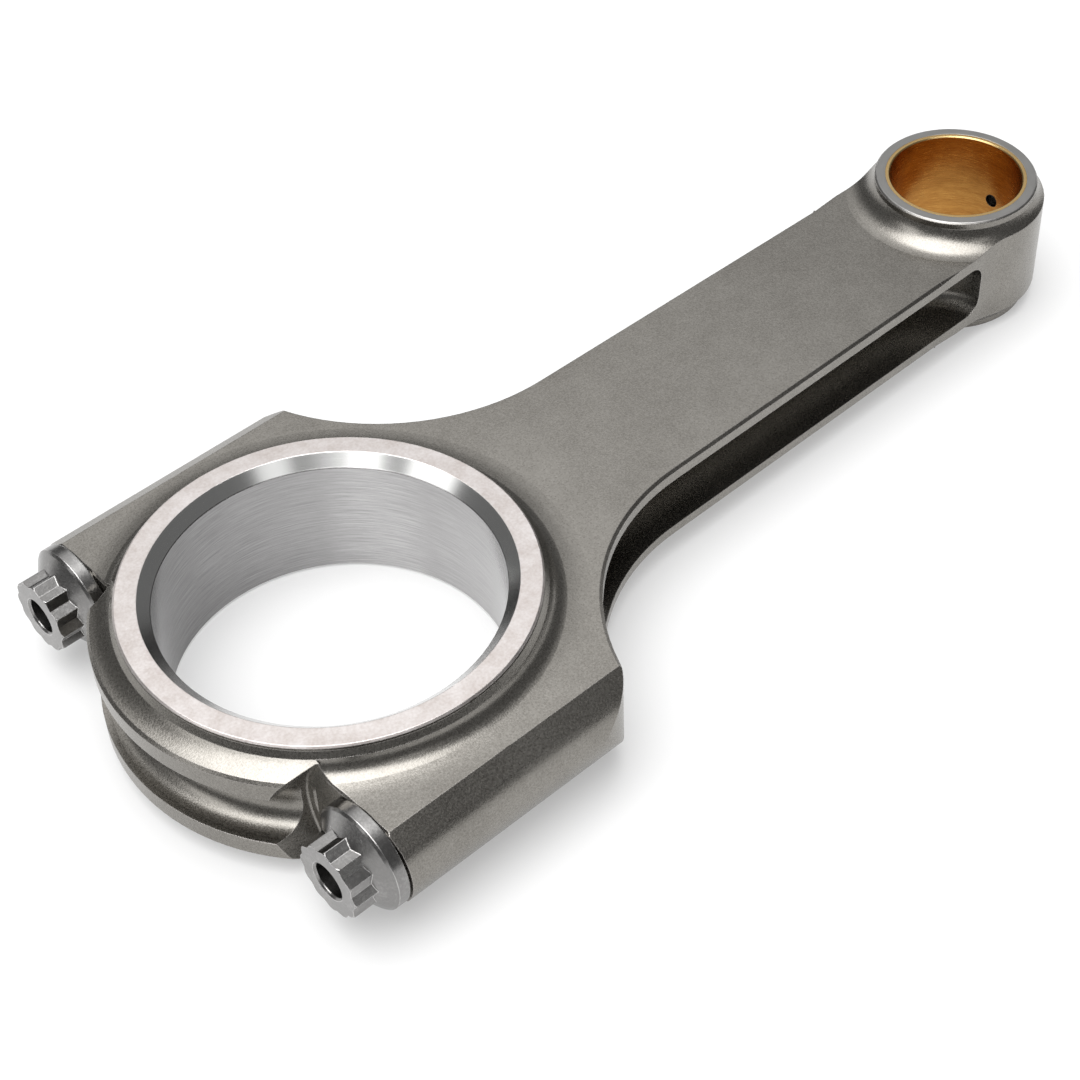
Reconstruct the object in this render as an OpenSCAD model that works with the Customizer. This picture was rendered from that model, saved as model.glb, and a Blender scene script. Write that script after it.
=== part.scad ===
// Forged H-beam connecting rod for a small-block engine, with its cap, two cap
// screws, two alignment sleeves and the bushing for the piston pin.
// Millimetres. The origin is the centre of the crank bore. +X runs along the beam
// to the pin, +Z is the axis of both bores and +Y is the left-hand bolt.

/* [Rod] */

// Distance between the centres of the crank bore and the pin bore
centre_distance = 144.78; // [120:0.01:180]

// Width over the ground faces of both ends
end_width = 23.88; // [18:0.01:30]

// Thickness between the two broad forged faces
plate_thickness = 14.6; // [10:0.1:18]

// Width of the beam where it leaves the shoulders
beam_width_big = 31.6; // [24:0.1:38]

// Width of the beam beside the eye
beam_width_small = 29.8; // [22:0.1:34]

// Thickness of the web between the two side channels
web_thickness = 6.4; // [3:0.1:8]

// Thickness of each flange beside the channels
flange_thickness = 2.2; // [1.5:0.1:4]

// Radius of the neck between shoulder and beam
neck_radius = 38; // [20:0.5:60]

// Size of the broken edge round the broad faces
edge_break = 0.5; // [0.1:0.05:1]

/* [Crank end] */

// Diameter of the housing bore for the bearing shells
crank_bore_d = 53.975; // [40:0.001:66]

// Diameter of the raised thrust ring
thrust_ring_d = 65.1; // [56:0.1:72]

// Chamfer of the bore on the side of the crank fillet
crank_chamfer = 1.9; // [0.5:0.1:3]

// Chamfer of the bore on the other side
plain_chamfer = 0.6; // [0.2:0.1:2]

// Height at which the forged slopes start below the thrust ring
slope_top_z = 10.15; // [8:0.05:11]

// Diameter at which the forged fillet runs out into the broad face
crank_fillet_d = 79; // [70:0.1:79.2]

// Outside diameter of the cap
cap_d = 73.8; // [68:0.1:80]

// Height of the rim of the cap above the mid plane
cap_rim_z = 8.6; // [7.5:0.1:10]

// Depth of the groove round the cap
cap_groove_depth = 5.2; // [2:0.1:7]

// Height of the groove round the cap
cap_groove_height = 10; // [5:0.1:12]

/* [Pin end] */

// Diameter of the reamed bushing bore for the piston pin
pin_bore_d = 23.546; // [18:0.001:26]

// Wall thickness of the bronze bushing
bushing_wall = 0.8; // [0.6:0.05:2]

// Diameter of the raised ring round the bushing
pin_ring_d = 28.9; // [26:0.1:34]

// Outside diameter of the eye
eye_d = 32; // [28:0.1:38]

// Diameter at which the eye fillet runs out into the broad face
eye_fillet_d = 38.6; // [34:0.1:44]

// Diameter of the oil hole in the tip of the eye
oil_hole_d = 2.4; // [1.5:0.1:4]

/* [Bolts] */

// Distance between the two bolt axes
bolt_spacing = 71.2; // [64:0.1:80]

// Diameter of the round boss round each bolt
boss_d = 17.8; // [15:0.1:20]

// Distance from the parting face to the seat of the bolt head
seat_depth = 22.4; // [16:0.1:28]

// Radius of the corner where the boss meets the shoulder
shoulder_corner = 9.4; // [2:0.1:12]

// Diameter of the bolt shank
shank_d = 11.3; // [8:0.05:12]

// Diameter over the threads
thread_d = 11.1; // [8:0.05:12]

// Diameter of the bolt flange
flange_d = 17.4; // [14:0.1:19]

// Width across flats of the twelve-point head
head_flats = 10.9; // [8:0.05:13]

// Height of the whole head above its seat
head_height = 8.2; // [6:0.1:12]

// Diameter of the recess in the end of the head
recess_d = 5.9; // [3:0.1:7]

// Outside diameter of the alignment sleeves
sleeve_d = 13.2; // [12:0.05:14]

// Length of the alignment sleeves
sleeve_length = 9.6; // [6:0.1:14]

/* [Hidden] */

// Number of sides of a drawn circle, and of small ones
$fn = 96;
big_fn = 192;

// Play between parts that slide on each other
slide_play = 0.05;

// A cut that passes clean through
over = 1;

// Half sizes
half_width = end_width / 2;
half_plate = plate_thickness / 2;
half_big = beam_width_big / 2;
half_small = beam_width_small / 2;
half_slot = half_plate - flange_thickness;
half_web = web_thickness / 2;
bolt_y = bolt_spacing / 2;
boss_r = boss_d / 2;
crank_r = crank_bore_d / 2;
ring_r = thrust_ring_d / 2;
cap_r = cap_d / 2;
pin_r = pin_bore_d / 2;
bushing_r = pin_r + bushing_wall;
pin_ring_r = pin_ring_d / 2;
eye_r = eye_d / 2;

// Where the beam meets the neck arcs, and where the eye blends start
neck_x = 58;
neck_y = half_big + neck_radius;
blend_radius = 20;
blend_y = half_small + blend_radius;
blend_x = centre_distance - sqrt(pow(eye_r + blend_radius, 2) - pow(blend_y, 2));

// Rounded corner of each shoulder, tangent to the boss side and to the neck arc
side_y = bolt_y + boss_r;
corner_y = side_y - shoulder_corner;
corner_x = neck_x - sqrt(pow(neck_radius + shoulder_corner, 2) - pow(neck_y - corner_y, 2));
corner_top = corner_y + shoulder_corner * (neck_y - corner_y) / (neck_radius + shoulder_corner);

// Spot face round each bolt head in the cap
spot_face_r = 14.5;
spot_corner = 0.5;

// Neck under the thrust ring, down to the start of the forged slopes
neck_top_z = 11.2;
slope_top_r = 33.2;

// Cap between the bolts: arc of its hollow slope, and its broken rim
slope_arc = 8;
rim_edge = 0.5;

// Side channels: wall at the big end, round end at the pin end
channel_big_r = 40;
channel_round = 3;
channel_limit_y = 28.8;
channel_end_x = 121.6;
channel_end_r = 14;

// Rings: height of the eye fillet, and the broken edge of each ring
eye_fillet_z = 10.6;
ring_edge = 0.3;

// Crank fillet: a long arc that runs out level, and a short one up to the ring
long_arc = 18;
short_arc = 3.4;
knee_r = 35.8;
knee_lean = (crank_fillet_d / 2 - knee_r) / long_arc;
knee_rise = sqrt(1 - knee_lean * knee_lean);
knee_z = half_plate + long_arc * (1 - knee_rise);

// Crest of each boss, and the relief that falls away from it
crest_y = 39.7;
crest_tilt = 33;

// Bolt details
rim_height = 2.7;
rim_break = 0.4;
cone_height = 4.3;
bolt_end_x = 19.5;
shank_end_x = 3;
sleeve_wall_r = thread_d / 2 + 0.25;

// Radius of the arc that starts at a ring and runs out level
function runout_radius(run, drop) = (run * run + drop * drop) / (2 * drop);

// Half outline of a round block with its upper edge broken
module edged_block(r_block, height, edge) {
    square([r_block - edge, height]);
    square([r_block, height - edge]);
    polygon([
        [r_block - edge - 0.01, height],
        [r_block - edge, height],
        [r_block, height - edge],
        [r_block - edge - 0.01, height - edge - 0.01]
    ]);
}

// Half outline of the neck that carries the thrust ring
module neck_half_outline() {
    polygon([
        [0, 0], [slope_top_r, 0], [slope_top_r, slope_top_z],
        [ring_r, neck_top_z], [0, neck_top_z]
    ]);
}

// Half outline of the crank ring with its forged fillet
module crank_half_outline() {
    r_out = crank_fillet_d / 2;
    edged_block(ring_r, half_width, ring_edge);
    neck_half_outline();
    difference() {
        translate([ring_r, 0]) square([r_out - ring_r, slope_top_z]);
        intersection() {
            translate([knee_r, 0]) square([r_out, half_width]);
            translate([r_out, half_plate + long_arc]) circle(r = long_arc, $fn = big_fn);
        }
        translate([knee_r + short_arc * knee_lean, knee_z + short_arc * knee_rise])
            circle(r = short_arc);
    }
}

// Half outline of the pin ring with the fillet of the eye
module eye_half_outline() {
    r_out = eye_fillet_d / 2;
    arc = runout_radius(r_out - pin_ring_r, eye_fillet_z - half_plate);
    edged_block(pin_ring_r, half_width, ring_edge);
    difference() {
        square([r_out, eye_fillet_z]);
        translate([r_out, half_plate + arc]) circle(r = arc, $fn = big_fn);
    }
}

// Both halves of an outline, above and below the mid plane
module both_faces() {
    children();
    mirror([0, 1]) children();
}

// Plan of the shoulders, the beam and the eye, without the bores
module rod_plan() {
    translate([0, -side_y]) square([corner_x, 2 * side_y]);
    for (side = [-1, 1])
        translate([corner_x, side * corner_y]) circle(r = shoulder_corner);
    difference() {
        translate([0, -corner_top]) square([neck_x, 2 * corner_top]);
        for (side = [-1, 1])
            translate([neck_x, side * neck_y]) circle(r = neck_radius, $fn = big_fn);
    }
    polygon([
        [neck_x - over, -half_big], [blend_x, -half_small],
        [blend_x, half_small], [neck_x - over, half_big]
    ]);
    eye_plan();
}

// Plan of the eye with its two side blends
module eye_plan() {
    touch_x = centre_distance - eye_r * (centre_distance - blend_x) / (eye_r + blend_radius);
    touch_y = eye_r * blend_y / (eye_r + blend_radius);
    translate([centre_distance, 0]) circle(r = eye_r, $fn = big_fn);
    difference() {
        translate([blend_x - 0.01, -touch_y]) square([touch_x - blend_x + 0.02, 2 * touch_y]);
        for (side = [-1, 1])
            translate([blend_x, side * blend_y]) circle(r = blend_radius);
    }
}

// Space inside which the broad plate may lie: flat in the middle, round at the bosses
module boss_envelope(x_from, x_to) {
    length = x_to - x_from;
    difference() {
        union() {
            translate([x_from, -bolt_y, -half_plate])
                cube([length, 2 * bolt_y, plate_thickness]);
            for (side = [-1, 1])
                translate([x_from, side * bolt_y, 0])
                    rotate([0, 90, 0]) cylinder(r = boss_r, h = length);
        }
        for (side = [0, 1], face = [0, 1])
            mirror([0, side, 0]) mirror([0, 0, face])
                translate([x_from - over, crest_y, half_plate]) rotate([-crest_tilt, 0, 0])
                    translate([0, -over, 0]) cube([length + 2 * over, 8, 4]);
    }
}

// Forged plate of the rod, both rings and their fillets
module rod_blank() {
    intersection() {
        translate([0, 0, -half_plate]) linear_extrude(plate_thickness) rod_plan();
        boss_envelope(0, centre_distance + eye_r + over);
    }
    intersection() {
        rotate_extrude($fn = big_fn) both_faces() crank_half_outline();
        translate([0, -side_y, -half_width]) cube([side_y, 2 * side_y, end_width]);
    }
    intersection() {
        translate([centre_distance, 0, 0]) rotate_extrude($fn = big_fn)
            both_faces() eye_half_outline();
        translate([0, 0, -half_width]) linear_extrude(end_width) rod_plan();
    }
}

// Half section of a wall that flares into the flanges above and below it
module flared_wall(radius) {
    flare = channel_round;
    translate([0, -half_slot - over]) square([radius, 2 * (half_slot + over)]);
    for (face = [-1, 1])
        difference() {
            translate([radius - 0.01, face > 0 ? half_slot - flare : -half_slot - over])
                square([flare + 0.01, flare + over]);
            translate([radius + flare, face * (half_slot - flare)]) circle(r = flare);
        }
}

// Channel cut into one side of the beam
module side_channel(side) {
    mirror([0, side < 0 ? 1 : 0, 0]) {
        difference() {
            translate([channel_limit_y, half_web, 0]) rotate([90, 0, 90])
                linear_extrude(channel_end_x - channel_limit_y) channel_section();
            rotate_extrude($fn = big_fn) flared_wall(channel_big_r);
        }
        translate([channel_end_x, half_web + channel_end_r, 0])
            rotate_extrude($fn = big_fn) round_end_section();
    }
}

// Section of the channel with rounded corners beside the web
module channel_section() {
    depth = channel_limit_y - half_web;
    translate([channel_round, -half_slot]) square([depth - channel_round, 2 * half_slot]);
    translate([0, -half_slot + channel_round])
        square([depth, 2 * (half_slot - channel_round)]);
    for (face = [-1, 1])
        translate([channel_round, face * (half_slot - channel_round)])
            circle(r = channel_round);
}

// Half section of the round end of the channel, as a cutter leaves it
module round_end_section() {
    flat_r = channel_end_r - channel_round;
    translate([0, -half_slot]) square([flat_r, 2 * half_slot]);
    translate([0, -half_slot + channel_round])
        square([channel_end_r, 2 * (half_slot - channel_round)]);
    for (face = [-1, 1])
        translate([flat_r, face * (half_slot - channel_round)]) circle(r = channel_round);
}

// Bore with a cone at each mouth, cut through both ends
module chamfered_bore(radius, chamfer_top, chamfer_bottom) {
    translate([0, 0, -half_width - over])
        cylinder(r = radius, h = end_width + 2 * over, $fn = big_fn);
    translate([0, 0, half_width - chamfer_top])
        cylinder(r1 = radius, r2 = radius + chamfer_top + over, h = chamfer_top + over, $fn = big_fn);
    translate([0, 0, -half_width - over])
        cylinder(
            r1 = radius + chamfer_bottom + over, r2 = radius,
            h = chamfer_bottom + over, $fn = big_fn
        );
}

// Square bar on its edge, for breaking a corner
module edge_bar_section() {
    rotate(45) square(edge_break * sqrt(2), center = true);
}

// Broken edges along the beam and round the necks
module broken_edges() {
    slope = atan2(half_big - half_small, blend_x - neck_x);
    straight = blend_x - neck_x - 12;
    fade_tilt = 3.5;
    for (side = [-1, 1], face = [-1, 1]) {
        translate([neck_x, side * half_big, face * half_plate])
            rotate([0, 0, -side * slope]) rotate([90, 0, 90]) {
                linear_extrude(straight + 0.01) edge_bar_section();
                translate([0, 0, straight]) rotate(a = fade_tilt, v = [-face, side, 0])
                    linear_extrude(8) edge_bar_section();
            }
        translate([neck_x, side * neck_y, face * half_plate])
            rotate_extrude($fn = big_fn) translate([neck_radius, 0]) edge_bar_section();
    }
}

// Hole along a bolt axis between two stations
module bolt_hole(side, radius, x_from, x_to) {
    translate([x_from, side * bolt_y, 0]) rotate([0, 90, 0])
        cylinder(r = radius, h = x_to - x_from);
}

module rod_body() {
    color([0.56, 0.54, 0.51]) difference() {
        rod_blank();
        for (side = [-1, 1]) {
            side_channel(side);
            bolt_hole(side, thread_d / 2 + slide_play, -over, neck_x / 2 + over);
            bolt_hole(side, sleeve_d / 2, -over, sleeve_length / 2 + 0.2);
        }
        broken_edges();
        chamfered_bore(crank_r, crank_chamfer, plain_chamfer);
        translate([centre_distance, 0, -half_width - over])
            cylinder(r = bushing_r, h = end_width + 2 * over, $fn = big_fn);
        translate([centre_distance, 0, 0]) rotate([0, 90, 0])
            cylinder(d = oil_hole_d, h = eye_r + over, $fn = 48);
        translate([centre_distance + eye_r - 0.4, 0, 0]) rotate([0, 90, 0])
            cylinder(d1 = oil_hole_d, d2 = oil_hole_d + 2, h = 1, $fn = 48);
    }
}

// Half outline of the cap between the bolts
module cap_half_outline() {
    lip_r = cap_r - rim_edge;
    run = lip_r - slope_top_r;
    drop = slope_top_z - cap_rim_z;
    chord = sqrt(run * run + drop * drop);
    reach = sqrt(slope_arc * slope_arc - chord * chord / 4) / chord;
    edged_block(ring_r, half_width, ring_edge);
    edged_block(cap_r, cap_rim_z, rim_edge);
    neck_half_outline();
    difference() {
        translate([ring_r, 0]) square([lip_r - ring_r, slope_top_z]);
        translate([
            (slope_top_r + lip_r) / 2 + reach * drop,
            (slope_top_z + cap_rim_z) / 2 + reach * run
        ]) circle(r = slope_arc, $fn = big_fn);
    }
}

// Spot-facing cutter for one bolt head, with the rounded corner of its tool
module spot_face(side) {
    depth = cap_r + over - seat_depth;
    translate([-cap_r - over, side * bolt_y, 0]) rotate([0, 90, 0])
        rotate_extrude() {
            square([spot_face_r, depth - spot_corner]);
            square([spot_face_r - spot_corner, depth]);
            translate([spot_face_r - spot_corner, depth - spot_corner])
                circle(r = spot_corner);
        }
}

// Section of the groove round the cap
module groove_outline() {
    fillet = 4.1;
    floor_r = cap_r - cap_groove_depth;
    half = cap_groove_height / 2;
    translate([floor_r + fillet, -half]) square([cap_groove_depth, cap_groove_height]);
    translate([floor_r, -half + fillet])
        square([cap_groove_depth + fillet, cap_groove_height - 2 * fillet]);
    for (face = [-1, 1])
        translate([floor_r + fillet, face * (half - fillet)]) circle(r = fillet);
}

// Forged blank of the cap: ring, fillet and the two bosses
module cap_blank() {
    intersection() {
        rotate_extrude($fn = big_fn) both_faces() cap_half_outline();
        translate([-cap_r - over, -cap_r - over, -half_width])
            cube([cap_r + over - seat_depth, 2 * (cap_r + over), end_width]);
    }
    intersection() {
        rotate_extrude($fn = big_fn) both_faces() crank_half_outline();
        translate([-seat_depth, -side_y, -half_width]) cube([seat_depth, 2 * side_y, end_width]);
    }
    intersection() {
        translate([-seat_depth, -side_y, -half_plate])
            cube([seat_depth, 2 * side_y, plate_thickness]);
        boss_envelope(-seat_depth, 0);
    }
}

module rod_cap() {
    color([0.57, 0.55, 0.52]) difference() {
        cap_blank();
        rotate([0, 0, 134]) rotate_extrude(angle = 92, $fn = big_fn) groove_outline();
        for (side = [-1, 1]) {
            spot_face(side);
            bolt_hole(side, shank_d / 2 + slide_play, -seat_depth - over, over);
            bolt_hole(side, sleeve_d / 2 + slide_play, -sleeve_length / 2 - 0.2, over);
            for (face = [-1, 1])
                translate([-seat_depth, side * bolt_y, face * half_plate])
                    rotate([90, 0, 0]) linear_extrude(boss_d, center = true)
                        rotate(45) square(edge_break, center = true);
        }
        chamfered_bore(crank_r, crank_chamfer, plain_chamfer);
    }
}

module pin_bushing() {
    face = half_width - 0.02;
    edge = 0.2;
    color([0.78, 0.55, 0.25]) translate([centre_distance, 0, 0]) difference() {
        translate([0, 0, -face]) cylinder(r = bushing_r, h = 2 * face, $fn = big_fn);
        translate([0, 0, -half_width - over])
            cylinder(r = pin_r, h = end_width + 2 * over, $fn = big_fn);
        for (side = [0, 1])
            mirror([0, 0, side]) translate([0, 0, face - edge])
                cylinder(r1 = pin_r, r2 = pin_r + edge + over, h = edge + over, $fn = big_fn);
        rotate([0, 90, 0]) cylinder(d = oil_hole_d, h = eye_r, $fn = 48);
    }
}

// Half section of the bolt, in radius and distance from the end of the head
module bolt_section() {
    seat = head_height;
    shank = seat + seat_depth + shank_end_x;
    tip = seat + seat_depth + bolt_end_x;
    thread_r = thread_d / 2;
    polygon([
        [0, seat - cone_height - 0.4],
        [head_flats / 2, seat - cone_height - 0.4],
        [head_flats / 2 + 0.6, seat - cone_height],
        [flange_d / 2 - rim_break, seat - rim_height],
        [flange_d / 2, seat - rim_height + rim_break],
        [flange_d / 2, seat - rim_break],
        [flange_d / 2 - rim_break, seat],
        [shank_d / 2, seat],
        [shank_d / 2, shank - shank_end_x - sleeve_length / 2 - 1],
        [thread_r, shank - shank_end_x - sleeve_length / 2],
        [thread_r, tip - 1.2],
        [thread_r - 1.2, tip],
        [0, tip]
    ]);
}

// Twelve-point driving head made of two hexagons
module twelve_point(height) {
    corner_r = head_flats / 2 / cos(30);
    intersection() {
        linear_extrude(height)
            for (turn = [0, 30]) rotate(turn) circle(r = corner_r, $fn = 6);
        cylinder(r1 = corner_r - 0.25, r2 = corner_r - 0.25 + height, h = height);
    }
}

module cap_bolt(side) {
    depth = 4.2;
    mouth = 0.35;
    color([0.42, 0.42, 0.43])
        translate([-seat_depth - head_height, side * bolt_y, 0]) rotate([0, 90, 0])
            difference() {
                union() {
                    rotate_extrude() bolt_section();
                    twelve_point(head_height - cone_height + 0.6);
                }
                translate([0, 0, -over]) cylinder(d = recess_d, h = depth + over);
                translate([0, 0, depth - 0.01]) cylinder(d1 = recess_d, d2 = 0.6, h = 1.5);
                translate([0, 0, -over])
                    cylinder(d1 = recess_d + 2 * (mouth + over), d2 = recess_d, h = mouth + over);
            }
}

module cap_bolt_right() {
    cap_bolt(-1);
}

module cap_bolt_left() {
    cap_bolt(1);
}

module dowel_sleeve(side) {
    edge = 0.4;
    color([0.62, 0.62, 0.63])
        translate([-sleeve_length / 2, side * bolt_y, 0]) rotate([0, 90, 0])
            difference() {
                intersection() {
                    cylinder(d = sleeve_d, h = sleeve_length);
                    translate([0, 0, -edge]) cylinder(
                        r1 = sleeve_d / 2 - 2 * edge,
                        r2 = sleeve_d / 2 - 2 * edge + sleeve_length + edge,
                        h = sleeve_length + edge
                    );
                    cylinder(
                        r1 = sleeve_d / 2 - edge + sleeve_length,
                        r2 = sleeve_d / 2 - edge,
                        h = sleeve_length
                    );
                }
                translate([0, 0, -over]) cylinder(r = sleeve_wall_r, h = sleeve_length + 2 * over);
            }
}

module dowel_sleeve_right() {
    dowel_sleeve(-1);
}

module dowel_sleeve_left() {
    dowel_sleeve(1);
}

rod_body();
rod_cap();
pin_bushing();
cap_bolt_right();
cap_bolt_left();
dowel_sleeve_right();
dowel_sleeve_left();
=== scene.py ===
"""Finishes and studio stage for a forged connecting rod, laid out as a Blender add-on."""

import math

import bmesh
import bpy
from mathutils import Matrix, Vector


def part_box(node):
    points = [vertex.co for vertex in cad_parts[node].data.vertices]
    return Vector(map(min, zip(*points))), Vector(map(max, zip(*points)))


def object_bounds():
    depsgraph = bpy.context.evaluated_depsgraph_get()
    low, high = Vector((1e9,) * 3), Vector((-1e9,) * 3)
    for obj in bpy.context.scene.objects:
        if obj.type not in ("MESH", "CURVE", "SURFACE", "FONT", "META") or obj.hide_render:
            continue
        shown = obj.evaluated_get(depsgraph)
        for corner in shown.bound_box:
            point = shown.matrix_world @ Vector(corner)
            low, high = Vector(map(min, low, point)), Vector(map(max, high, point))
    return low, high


bl_info = {
    "name": "Connecting Rod Finishes",
    "version": (1, 0, 0),
    "blender": (4, 5, 0),
    "location": "3D View > Sidebar > Rod",
    "description": "Finishes a forged connecting rod and sets it on a studio floor",
    "category": "Object",
}

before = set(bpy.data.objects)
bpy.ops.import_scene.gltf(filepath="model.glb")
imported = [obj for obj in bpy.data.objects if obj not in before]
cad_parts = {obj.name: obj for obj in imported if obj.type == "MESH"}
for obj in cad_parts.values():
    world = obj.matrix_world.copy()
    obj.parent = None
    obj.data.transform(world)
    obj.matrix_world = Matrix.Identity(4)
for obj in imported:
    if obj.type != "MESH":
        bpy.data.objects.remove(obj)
CAD_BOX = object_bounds()

MILLIMETRE = 0.001
BUSHING_LOW, BUSHING_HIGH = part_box("pin_bushing")
EYE_X = (BUSHING_LOW.x + BUSHING_HIGH.x) / 2

# How softly one finish gives way to the next
FINE_STEP = 0.05 * MILLIMETRE
STEP = 0.1 * MILLIMETRE

# How much of its red, green and blue the ground face keeps where it is stained
GROUND_STAIN = (0.74, 0.70, 0.67)

# Half width of the strip at the parting face where edges stay sharp and get no painted highlight,
# and depth of the bushing's rim
PARTING_STRIP = 0.5 * MILLIMETRE
RIM_DEPTH = 0.25 * MILLIMETRE

# Directions from the bore's axis to the side where the bore is painted brighter and to the painted
# reflection streak beside it
PAINTED_LIGHT_SIDE = (0.98, -0.17, 0.0)
PAINTED_REFLECTION_SIDE = (0.80, 0.60, 0.0)

# Cells of noise in a radian round a bore, for each kind of mark
HONING_MARKS = 3.2
REAMING_MARKS = 5.0
BAND_MARKS = 1.6

# Cells of noise in a metre, for each kind of unevenness
CLOUDS = 38.0
SLEEVE_MARKS = 80.0
TARNISH = 150.0
PATCHES = 190.0
SCREW_CLOUDS = 210.0
SMEARS = 260.0
SLEEVE_CLOUDS = 300.0
BANDS = 700.0
MOTTLES = 2200.0
SCREW_GRAIN = 2400.0

# Round light panels: azimuth, elevation, half width and softness in degrees, and strength
PANELS = (
    (186, 77, 29, 11, 4.7),
    (57, 60, 26, 30, 1.25),
    (162, 36, 12, 5, 1.9),
    (-157, 44, 7, 4, 1.3),
    (-98, 46, 8, 4, 1.2))
AMBIENT = 0.17


def length(name, description, millimetres):
    """A length property whose default is given in millimetres."""
    return bpy.props.FloatProperty(
        name=name, description=description, default=millimetres * MILLIMETRE,
        min=0.0, precision=5, unit="LENGTH")


def share(name, description, default):
    """A property between 0 and 1."""
    return bpy.props.FloatProperty(
        name=name, description=description, default=default,
        min=0.0, max=1.0, subtype="FACTOR")


def colour(name, description, default):
    """A colour property, in linear light."""
    return bpy.props.FloatVectorProperty(
        name=name, description=description, default=default,
        min=0.0, max=1.0, size=3, subtype="COLOR")


class Wire:
    """An output socket. Arithmetic on it adds Math nodes to its tree."""

    def __init__(self, tree, socket):
        self.tree = tree
        self.socket = socket

    def maths(self, operation, *values):
        return self.tree.add(
            "ShaderNodeMath", {"operation": operation}, dict(enumerate(values)))

    def __add__(self, other):
        return self.maths("ADD", self, other)

    __radd__ = __add__

    def __sub__(self, other):
        return self.maths("SUBTRACT", self, other)

    def __rsub__(self, other):
        return self.maths("SUBTRACT", other, self)

    def __mul__(self, other):
        return self.maths("MULTIPLY", self, other)

    __rmul__ = __mul__

    def __truediv__(self, other):
        return self.maths("DIVIDE", self, other)

    def __abs__(self):
        return self.maths("ABSOLUTE", self)

    def swing(self, amount):
        """How far a noise value lies from its middle, times an amount."""
        return (self - 0.5) * amount

    def root(self):
        return self.maths("SQRT", self)

    def lower(self, other):
        return self.maths("MINIMUM", self, other)

    def higher(self, other):
        return self.maths("MAXIMUM", self, other)

    def above(self, edge, soft):
        """1 where the value is above the edge, 0 below, with a soft step."""
        return self.tree.add(
            "ShaderNodeMapRange", {"interpolation_type": "SMOOTHSTEP"},
            {"Value": self, "From Min": edge - soft / 2, "From Max": edge + soft / 2})

    def below(self, edge, soft):
        return 1 - self.above(edge, soft)


class Tree:
    """A node tree to which every node is added in one way."""

    def __init__(self, nodes):
        self.tree = nodes
        self.tree.nodes.clear()

    def add(self, kind, settings=None, inputs=None, output=0):
        """Adds a node, sets it, feeds its sockets and gives one output."""
        made = self.tree.nodes.new(kind)
        for name, value in (settings or {}).items():
            setattr(made, name, value)
        for name, value in (inputs or {}).items():
            if isinstance(value, Wire):
                self.tree.links.new(value.socket, made.inputs[name])
            else:
                made.inputs[name].default_value = value
        if output is None:
            return made
        return Wire(self, made.outputs[output])

    def split(self, vector):
        """The three parts of a vector."""
        made = self.add("ShaderNodeSeparateXYZ", {}, {0: vector}, None)
        return [Wire(self, socket) for socket in made.outputs]

    def join(self, x, y, z):
        return self.add("ShaderNodeCombineXYZ", {}, {0: x, 1: y, 2: z})

    def vector(self, operation, *values):
        return self.add(
            "ShaderNodeVectorMath", {"operation": operation}, dict(enumerate(values)))

    def dot(self, a, b):
        return self.add(
            "ShaderNodeVectorMath", {"operation": "DOT_PRODUCT"}, {0: a, 1: b}, "Value")

    def noise(self, vector, scale, detail=2.0, roughness=0.5):
        return self.add("ShaderNodeTexNoise", {}, {
            "Vector": vector, "Scale": scale, "Detail": detail, "Roughness": roughness})

    def blend(self, factor, first, second):
        """A colour between two colours."""
        return self.add(
            "ShaderNodeMix", {"data_type": "RGBA", "clamp_factor": True},
            {0: factor, 6: rgba(first), 7: rgba(second)}, 2)

    def pick(self, factor, first, second):
        """A value between two values."""
        return self.add(
            "ShaderNodeMix", {"data_type": "FLOAT", "clamp_factor": True},
            {0: factor, 2: first, 3: second}, 0)


def scaled(values, factor):
    """A colour made darker or brighter."""
    return [part * factor for part in values]


def rgba(value):
    """A colour for a socket: a wire as it is, three numbers with alpha added."""
    return value if isinstance(value, Wire) else (*value, 1.0)


class Finish(Tree):
    """A metal finish: a material whose colour, roughness and relief are built up."""

    def __init__(self, name):
        self.material = bpy.data.materials.new(name)
        self.material.use_nodes = True
        super().__init__(self.material.node_tree)
        self.place = self.add("ShaderNodeTexCoord", {}, {}, "Object")
        self.x, self.y, self.z = self.split(self.place)

    def radius(self, centre_x=0.0):
        """Distance from an upright axis through the given x."""
        across = self.x - centre_x
        return (across * across + self.y * self.y).root()

    def drilled(self, hole_radius, soft):
        """1 inside a hole drilled along the beam's middle, 0 outside it: where the shade inside the
        hole is painted.
        """
        return (self.y * self.y + self.z * self.z).root().below(hole_radius, soft)

    def angle(self, centre_x=0.0):
        """Angle round an upright axis through the given x, in radians."""
        return self.y.maths("ARCTAN2", self.y, self.x - centre_x)

    def edges(self, rounding, kept_share=1.0):
        """The rounded normal, and how strongly the surface turns at each point."""
        rounded = self.add(
            "ShaderNodeBevel", {"samples": 4}, {"Radius": rounding})
        plain = self.add("ShaderNodeNewGeometry", {}, {}, "Normal")
        change = self.vector("SUBTRACT", rounded, plain)
        kept = self.vector("MULTIPLY", change, self.join(kept_share, kept_share, kept_share))
        mixed = self.vector("NORMALIZE", self.vector("ADD", plain, kept))
        return mixed, (1 - self.dot(rounded, plain)) * kept_share

    def close(self, base, roughness, height, depth, normal):
        """Wires the surface to the material's output."""
        bump = self.add("ShaderNodeBump", {}, {
            "Strength": 1.0, "Distance": depth, "Height": height, "Normal": normal})
        surface = self.add("ShaderNodeBsdfPrincipled", {}, {
            "Base Color": base, "Roughness": roughness, "Metallic": 1.0, "Normal": bump})
        self.add("ShaderNodeOutputMaterial", {}, {"Surface": surface}, None)
        return self.material


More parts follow.
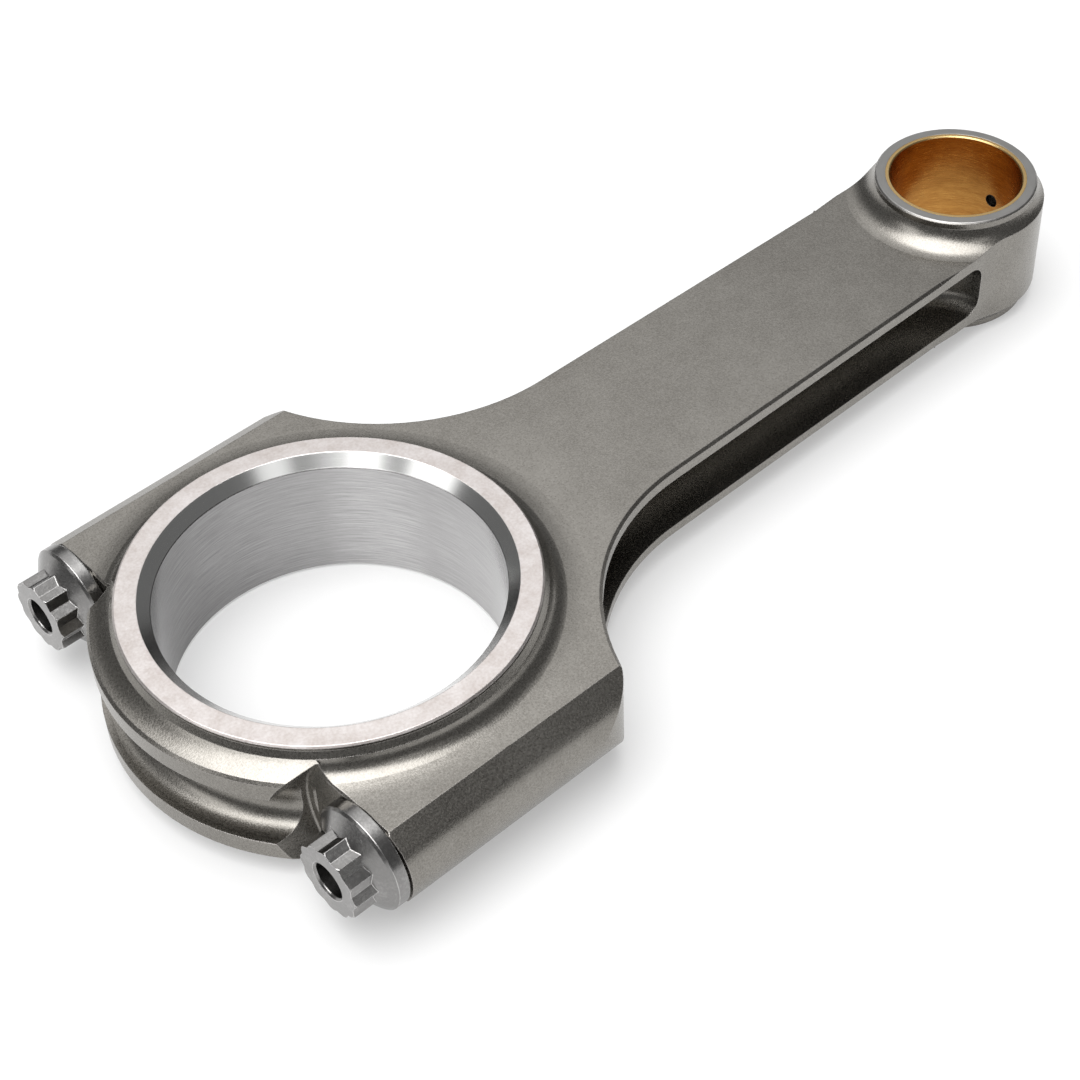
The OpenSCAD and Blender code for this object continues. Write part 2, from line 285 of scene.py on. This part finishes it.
class RodSizes(bpy.types.PropertyGroup):
    """Where one finish ends and the next begins."""

    bore_radius: length("Bore radius", "Radius of the honed crank bore", 26.99)
    chamfer_radius: length("Chamfer radius", "Outer radius of the turned chamfer", 28.87)
    ring_radius: length("Ring radius", "Outer radius of the crank thrust ring", 32.53)
    eye_ring_radius: length("Eye ring radius", "Outer radius of the ring of the eye", 14.32)
    ring_height: length("Ring height", "Height from which the rings count as ground", 11.6)
    oil_hole_radius: length("Oil hole radius", "Radius of the drilled oil hole", 1.3)
    grain: length("Grain", "Size of the dimples left by shot peening", 0.3)
    lay: length("Lay", "Spacing of turning and honing marks", 0.22)
    relief: length("Relief", "Depth of the dimples left by shot peening", 0.017)
    rounding: length("Rounding", "Radius that is seen at every sharp edge", 0.18)


class RodColours(bpy.types.PropertyGroup):
    """Colours of the rod, its bushing, its bolts and its sleeves."""

    forged_light: colour("Forged, light", "Bright specks of the peened skin", (0.34, 0.325, 0.30))
    forged_dark: colour("Forged, dark", "Dark specks of the peened skin", (0.16, 0.15, 0.135))
    ground: colour("Ground", "Ground face of the crank ring", (0.71, 0.672, 0.66))
    faced: colour("Faced", "Face of the pin ring", (0.34, 0.335, 0.325))
    turned: colour("Turned", "Chamfer of the crank bore", (0.70, 0.70, 0.69))
    honed: colour("Honed", "Wall of the crank bore", (0.42, 0.415, 0.415))
    drilled: colour("Drilled", "Inside of the drilled holes", (0.07, 0.065, 0.06))
    bronze_light: colour("Bronze, light", "Bushing where it is clean", (0.68, 0.38, 0.105))
    # Painted shade: this near-black colour stands for the shade inside the drilled oil holes
    bronze_dark: colour("Bronze, dark", "Bushing where it is tarnished", (0.28, 0.105, 0.022))
    bronze_rim: colour("Bronze, rim", "Cut rim of the bushing", (0.62, 0.44, 0.20))
    # Painted highlight: this colour lightens the bolts' edges, and with the noise it also gives
    # random bright wear
    bolt_highlight_and_wear: colour("Bolt, light", "Worn edges of the bolts", (0.70, 0.69, 0.68))
    bolt_dark: colour("Bolt, dark", "Body of the bolts", (0.27, 0.265, 0.26))
    sleeve: colour("Sleeve", "Alignment sleeves", (0.62, 0.61, 0.60))


class RodRoughness(bpy.types.PropertyGroup):
    """How rough each finish is, before its own unevenness."""

    forged: share("Forged", "Peened skin", 0.28)
    ground: share("Ground", "Ground face of the crank ring", 0.36)
    faced: share("Faced", "Face of the pin ring", 0.33)
    turned: share("Turned", "Chamfer of the crank bore", 0.19)
    honed: share("Honed", "Wall of the crank bore", 0.2)
    bronze: share("Bronze", "Reamed bushing", 0.24)
    bolt: share("Bolt", "Both cap screws", 0.24)
    sleeve: share("Sleeve", "Both alignment sleeves", 0.28)


class StageSettings(bpy.types.PropertyGroup):
    """Floor, light and camera."""

    floor_colour: colour("Floor", "Colour of the floor", (0.48, 0.48, 0.48))
    floor_glow: share("Floor glow", "Light that the floor gives by itself", 0.38)
    floor_size: length("Floor size", "Side of the floor", 6000)
    lens: bpy.props.FloatProperty(
        name="Lens", description="Focal length of the camera", default=77.5272,
        min=10.0, unit="CAMERA")
    heading: bpy.props.FloatProperty(
        name="Heading", description="Azimuth of the camera's view",
        default=math.radians(-40.885), subtype="ANGLE")
    tilt: bpy.props.FloatProperty(
        name="Tilt", description="How far the camera looks down",
        default=math.radians(44.737), subtype="ANGLE")
    roll: bpy.props.FloatProperty(
        name="Roll", description="Turn of the camera about its own view",
        default=math.radians(2.642), subtype="ANGLE")
    stand: bpy.props.FloatVectorProperty(
        name="Camera position", description="Where the camera stands",
        default=(-0.13605, -0.20604, 0.26123), size=3, precision=5, subtype="TRANSLATION")


def forged(metal, sizes, colours, rough):
    """Peened skin: colour, roughness and relief."""
    grain = metal.noise(metal.place, 1 / sizes.grain, 3.0, 0.62)
    cloud = metal.noise(metal.place, CLOUDS, 3.0, 0.5)
    patch = metal.noise(metal.place, PATCHES, 2.0, 0.6)
    tone = 0.5 + grain.swing(1.5) + cloud.swing(0.5) + patch.swing(0.35)
    base = metal.blend(tone, colours.forged_dark, colours.forged_light)
    roughness = rough.forged + cloud.swing(0.08) + grain.swing(0.18)
    return base, roughness, grain


def rod_steel(name, sizes, colours, rough):
    """Peened forging with ground rings, turned chamfers and honed bores, with painted light and a
    painted reflection in the bore, painted highlights along edges and painted shade in the oil
    hole.
    """
    metal = Finish(name)
    base, roughness, height = forged(metal, sizes, colours, rough)
    crank = metal.radius()
    eye = metal.radius(EYE_X)
    high = abs(metal.z)
    rounded, turn = metal.edges(
        sizes.rounding, abs(metal.x).above(PARTING_STRIP, STEP))

    smear = metal.noise(metal.place, SMEARS, 4.0, 0.6)
    mottle = metal.noise(metal.place, MOTTLES, 2.0, 0.6)
    raised = high.above(sizes.ring_height, STEP)
    lines = metal.noise(metal.join(crank / sizes.lay, 0.0, 0.0), 1.0, 3.0, 0.7)
    face = raised * crank.below(sizes.ring_radius, STEP)
    ground = metal.blend(
        0.56 + smear.swing(1.7) + mottle.swing(1.3),
        [part * dim for part, dim in zip(colours.ground, GROUND_STAIN)], colours.ground)
    base = metal.blend(face, base, ground)
    roughness = metal.pick(face, roughness, rough.ground + smear.swing(0.2))
    height = metal.pick(face, height, mottle * 0.18 + lines * 0.1)

    pin_lines = metal.noise(metal.join(eye / sizes.lay, 0.0, 0.0), 1.0, 3.0, 0.7)
    pin_face = raised * eye.below(sizes.eye_ring_radius, STEP)
    base = metal.blend(pin_face, base, metal.blend(
        0.5 + pin_lines.swing(0.8) + smear.swing(0.6),
        scaled(colours.faced, 0.8), scaled(colours.faced, 1.15)))
    roughness = metal.pick(pin_face, roughness, rough.faced + smear.swing(0.12))
    height = metal.pick(pin_face, height, pin_lines * 0.15)

    around = metal.angle()
    honed = metal.noise(metal.join(around * HONING_MARKS, metal.z / sizes.lay, 0.0), 1.0, 5.0, 0.75)
    bored = crank.below(sizes.bore_radius + STEP, STEP)
    cone = crank.below(sizes.chamfer_radius, STEP) * (1 - bored)
    base = metal.blend(cone, base, metal.blend(
        0.5 + lines.swing(1.2), scaled(colours.turned, 0.85), colours.turned))
    roughness = metal.pick(cone, roughness, rough.turned + lines.swing(0.1))
    height = metal.pick(cone, height, lines * 0.12)
    # Painted light and shade: the bore is painted brighter towards one side and darker on the
    # other, and a painted reflection streak runs beside it, over the random honing marks
    painted_light = metal.dot(metal.place, PAINTED_LIGHT_SIDE) / sizes.bore_radius
    painted_reflection = metal.dot(metal.place, PAINTED_REFLECTION_SIDE) / sizes.bore_radius
    painted_reflection = painted_reflection.above(0.975, 0.09) * (honed - 0.2)
    base = metal.blend(bored, base, metal.blend(
        0.32 + painted_light * 0.34 + painted_reflection * 0.8 + honed.swing(1.1),
        scaled(colours.honed, 0.42), scaled(colours.honed, 1.4)))
    roughness = metal.pick(bored, roughness, rough.honed + honed.swing(0.2))
    height = metal.pick(bored, height, honed * 0.3)

    # Painted highlights: edges are lightened towards the ground colour where the surface turns
    # sharply, except in the parting strip
    base = metal.blend((turn * 5.0).lower(0.5), base, scaled(colours.ground, 0.9))
    # Painted shade inside the oil hole beyond the eye's centre
    drilled = metal.drilled(sizes.oil_hole_radius, STEP) * metal.x.above(EYE_X, STEP)
    base = metal.blend(drilled, base, colours.drilled)
    return metal.close(base, roughness, height, sizes.relief, rounded)


def bronze(name, sizes, colours, rough):
    """Reamed bushing with fine lay, a little tarnish and painted shade in its oil hole."""
    metal = Finish(name)
    rounded = metal.edges(sizes.rounding * 0.5)[0]
    around = metal.angle(EYE_X)
    lay = metal.noise(metal.join(around * REAMING_MARKS, metal.z / sizes.lay, 0.0), 1.0, 5.0, 0.8)
    band = metal.noise(metal.join(around * BAND_MARKS, metal.z * BANDS, 0.0), 1.0, 2.0, 0.5)
    cloud = metal.noise(metal.place, TARNISH, 3.0, 0.55)
    tone = 0.5 + lay.swing(1.9) + band.swing(0.7) + cloud.swing(0.6)
    base = metal.blend(tone, colours.bronze_dark, colours.bronze_light)
    rim = abs(metal.z).above(BUSHING_HIGH.z - RIM_DEPTH, FINE_STEP)
    base = metal.blend(rim * 0.9, base, colours.bronze_rim)
    # Painted shade inside the oil hole through the bushing
    drilled = metal.drilled(sizes.oil_hole_radius * 0.98, FINE_STEP)
    base = metal.blend(drilled * metal.x.above(EYE_X, MILLIMETRE), base, colours.drilled)
    roughness = rough.bronze + lay.swing(0.25) + cloud.swing(0.1)
    return metal.close(base, roughness, lay * 0.3, sizes.relief, rounded)


def bolt_steel(name, sizes, colours, rough):
    """Blackened screw steel with painted highlights at its edges and random bright wear."""
    metal = Finish(name)
    rounded, turn = metal.edges(sizes.rounding)
    grain = metal.noise(metal.place, SCREW_GRAIN, 3.0, 0.6)
    cloud = metal.noise(metal.place, SCREW_CLOUDS, 3.0, 0.55)
    # Painted highlights along the edges where the surface turns sharply, mixed with random bright
    # wear from the noise
    edge_highlight_and_wear = (turn * 11.0 + grain.swing(0.4) + cloud.swing(0.5)).lower(1.0).higher(0.0)
    tone = 0.35 + grain.swing(0.7) + cloud.swing(0.5)
    base = metal.blend(tone, scaled(colours.bolt_dark, 0.75), scaled(colours.bolt_dark, 1.3))
    base = metal.blend(edge_highlight_and_wear, base, colours.bolt_highlight_and_wear)
    roughness = rough.bolt + cloud.swing(0.1) + grain.swing(0.1)
    return metal.close(base, roughness, grain * 0.35, sizes.relief, rounded)


def sleeve_steel(name, sizes, colours, rough):
    """Centreless-ground sleeve with painted highlights along its edges."""
    metal = Finish(name)
    rounded, turn = metal.edges(sizes.rounding * 0.6)
    stretched = metal.join(
        metal.x / sizes.lay, metal.y * SLEEVE_MARKS, metal.z * SLEEVE_MARKS)
    lay = metal.noise(stretched, 1.0, 4.0, 0.7)
    cloud = metal.noise(metal.place, SLEEVE_CLOUDS, 2.0, 0.5)
    base = metal.blend(
        0.5 + lay.swing(0.9) + cloud.swing(0.4),
        scaled(colours.sleeve, 0.78), colours.sleeve)
    # Painted highlights: edges are lightened towards the ground colour where the surface turns
    # sharply
    base = metal.blend((turn * 5.0).lower(0.6), base, colours.ground)
    roughness = rough.sleeve + cloud.swing(0.12)
    return metal.close(base, roughness, lay * 0.12, sizes.relief, rounded)


def dress(scene, nodes, finish, name):
    """Makes a finish from the scene's settings and gives it to CAD nodes."""
    material = finish(name, scene.rod_sizes, scene.rod_colours, scene.rod_roughness)
    for node in nodes:
        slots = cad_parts[node].data.materials
        slots.clear()
        slots.append(material)


class ROD_OT_finish_rod(bpy.types.Operator):
    """Gives the forged rod its peened skin, ground rings and honed bore"""

    bl_idname = "rod.finish_rod"
    bl_label = "Finish Rod"

    def execute(self, context):
        dress(context.scene, ["rod_body"], rod_steel, "rod_forging")
        return {"FINISHED"}


class ROD_OT_finish_cap(bpy.types.Operator):
    """Gives the cap the same skin and ring as the rod it was forged with"""

    bl_idname = "rod.finish_cap"
    bl_label = "Finish Cap"

    def execute(self, context):
        dress(context.scene, ["rod_cap"], rod_steel, "cap_forging")
        return {"FINISHED"}


class ROD_OT_finish_bushing(bpy.types.Operator):
    """Gives the bushing its reamed bronze"""

    bl_idname = "rod.finish_bushing"
    bl_label = "Finish Bushing"

    def execute(self, context):
        dress(context.scene, ["pin_bushing"], bronze, "bushing_bronze")
        return {"FINISHED"}


class ROD_OT_finish_bolts(bpy.types.Operator):
    """Gives both cap screws their dark steel, with painted edge highlights and random bright wear
    """

    bl_idname = "rod.finish_bolts"
    bl_label = "Finish Bolts"

    def execute(self, context):
        bolts = ["cap_bolt_right", "cap_bolt_left"]
        dress(context.scene, bolts, bolt_steel, "bolt_dark_steel")
        return {"FINISHED"}


class ROD_OT_finish_sleeves(bpy.types.Operator):
    """Gives the alignment sleeves their ground steel"""

    bl_idname = "rod.finish_sleeves"
    bl_label = "Finish Sleeves"

    def execute(self, context):
        sleeves = ["dowel_sleeve_right", "dowel_sleeve_left"]
        dress(context.scene, sleeves, sleeve_steel, "sleeve_ground_steel")
        return {"FINISHED"}


def softbox(tree, towards, azimuth, elevation, spread, soft):
    """1 where a direction meets a round panel, 0 elsewhere; all angles in degrees."""
    turn, rise = math.radians(azimuth), math.radians(elevation)
    axis = (math.cos(rise) * math.cos(turn), math.cos(rise) * math.sin(turn), math.sin(rise))
    edge = math.cos(math.radians(spread))
    blur = math.cos(math.radians(spread - soft / 2)) - math.cos(math.radians(spread + soft / 2))
    return tree.dot(towards, axis).above(edge, blur)


class ROD_OT_build_stage(bpy.types.Operator):
    """Builds the floor, the studio light and the camera"""

    bl_idname = "rod.build_stage"
    bl_label = "Build Stage"

    def execute(self, context):
        scene = context.scene
        settings = scene.rod_stage
        self.build_floor(scene, settings)
        self.build_light(scene)
        self.build_camera(scene, settings)
        scene.view_settings.view_transform = "Standard"
        return {"FINISHED"}

    def build_floor(self, scene, settings):
        mesh = bpy.data.meshes.new("floor")
        half = settings.floor_size / 2
        sheet = bmesh.new()
        corners = [
            sheet.verts.new((x * half, y * half, CAD_BOX[0].z))
            for x, y in ((-1, -1), (1, -1), (1, 1), (-1, 1))]
        sheet.faces.new(corners)
        sheet.to_mesh(mesh)
        sheet.free()
        floor = bpy.data.objects.new("floor", mesh)
        scene.collection.objects.link(floor)
        material = bpy.data.materials.new("pale_floor")
        material.use_nodes = True
        tree = Tree(material.node_tree)
        surface = tree.add("ShaderNodeBsdfPrincipled", {}, {
            "Base Color": rgba(settings.floor_colour), "Roughness": 0.8,
            "Specular IOR Level": 0.1,
            "Emission Color": (1.0, 1.0, 1.0, 1.0),
            "Emission Strength": settings.floor_glow})
        tree.add("ShaderNodeOutputMaterial", {}, {"Surface": surface}, None)
        mesh.materials.append(material)

    def build_light(self, scene):
        scene.world = bpy.data.worlds.new("studio")
        scene.world.use_nodes = True
        tree = Tree(scene.world.node_tree)
        towards = tree.add("ShaderNodeTexCoord", {}, {}, "Generated")
        light = AMBIENT
        for azimuth, elevation, spread, soft, strength in PANELS:
            light = light + softbox(tree, towards, azimuth, elevation, spread, soft) * strength
        seen = tree.add("ShaderNodeLightPath", {}, {}, "Is Camera Ray")
        backdrop = tree.add("ShaderNodeBackground", {}, {
            "Color": (1.0, 1.0, 1.0, 1.0), "Strength": tree.pick(seen, light, 1.0)})
        tree.add("ShaderNodeOutputWorld", {}, {"Surface": backdrop}, None)

    def build_camera(self, scene, settings):
        data = bpy.data.cameras.new("camera")
        data.lens = settings.lens
        data.sensor_width = 36.0
        data.clip_start = 0.01
        data.clip_end = 20.0
        camera = bpy.data.objects.new("camera", data)
        scene.collection.objects.link(camera)
        heading, tilt = settings.heading, settings.tilt
        ahead = Vector((
            -math.sin(heading) * math.cos(tilt), math.cos(heading) * math.cos(tilt),
            -math.sin(tilt)))
        right = ahead.cross(Vector((0, 0, 1))).normalized()
        down = ahead.cross(right)
        across = right * math.cos(settings.roll) + down * math.sin(settings.roll)
        below = down * math.cos(settings.roll) - right * math.sin(settings.roll)
        turn = Matrix((across, -below, -ahead)).transposed().to_4x4()
        camera.matrix_world = Matrix.Translation(settings.stand) @ turn
        scene.camera = camera


OPERATORS = (
    ROD_OT_finish_rod, ROD_OT_finish_cap, ROD_OT_finish_bushing,
    ROD_OT_finish_bolts, ROD_OT_finish_sleeves, ROD_OT_build_stage)


class ROD_PT_sidebar(bpy.types.Panel):
    """Lists the steps that dress the connecting rod"""

    bl_idname = "ROD_PT_sidebar"
    bl_label = "Connecting Rod"
    bl_space_type = "VIEW_3D"
    bl_region_type = "UI"
    bl_category = "Rod"

    def draw(self, context):
        for group in ("rod_sizes", "rod_colours", "rod_roughness", "rod_stage"):
            settings = getattr(context.scene, group)
            for name in settings.__annotations__:
                self.layout.prop(settings, name)
        for operator in OPERATORS:
            self.layout.operator(operator.bl_idname)


CLASSES = (
    RodSizes, RodColours, RodRoughness, StageSettings, *OPERATORS, ROD_PT_sidebar)


def register():
    for made in CLASSES:
        bpy.utils.register_class(made)
    bpy.types.Scene.rod_sizes = bpy.props.PointerProperty(type=RodSizes)
    bpy.types.Scene.rod_colours = bpy.props.PointerProperty(type=RodColours)
    bpy.types.Scene.rod_roughness = bpy.props.PointerProperty(type=RodRoughness)
    bpy.types.Scene.rod_stage = bpy.props.PointerProperty(type=StageSettings)


def unregister():
    del bpy.types.Scene.rod_stage
    del bpy.types.Scene.rod_roughness
    del bpy.types.Scene.rod_colours
    del bpy.types.Scene.rod_sizes
    for made in reversed(CLASSES):
        bpy.utils.unregister_class(made)


def main():
    register()
    bpy.ops.rod.finish_rod()
    bpy.ops.rod.finish_cap()
    bpy.ops.rod.finish_bushing()
    bpy.ops.rod.finish_bolts()
    bpy.ops.rod.finish_sleeves()
    bpy.ops.rod.build_stage()


if __name__ == "__main__":
    main()
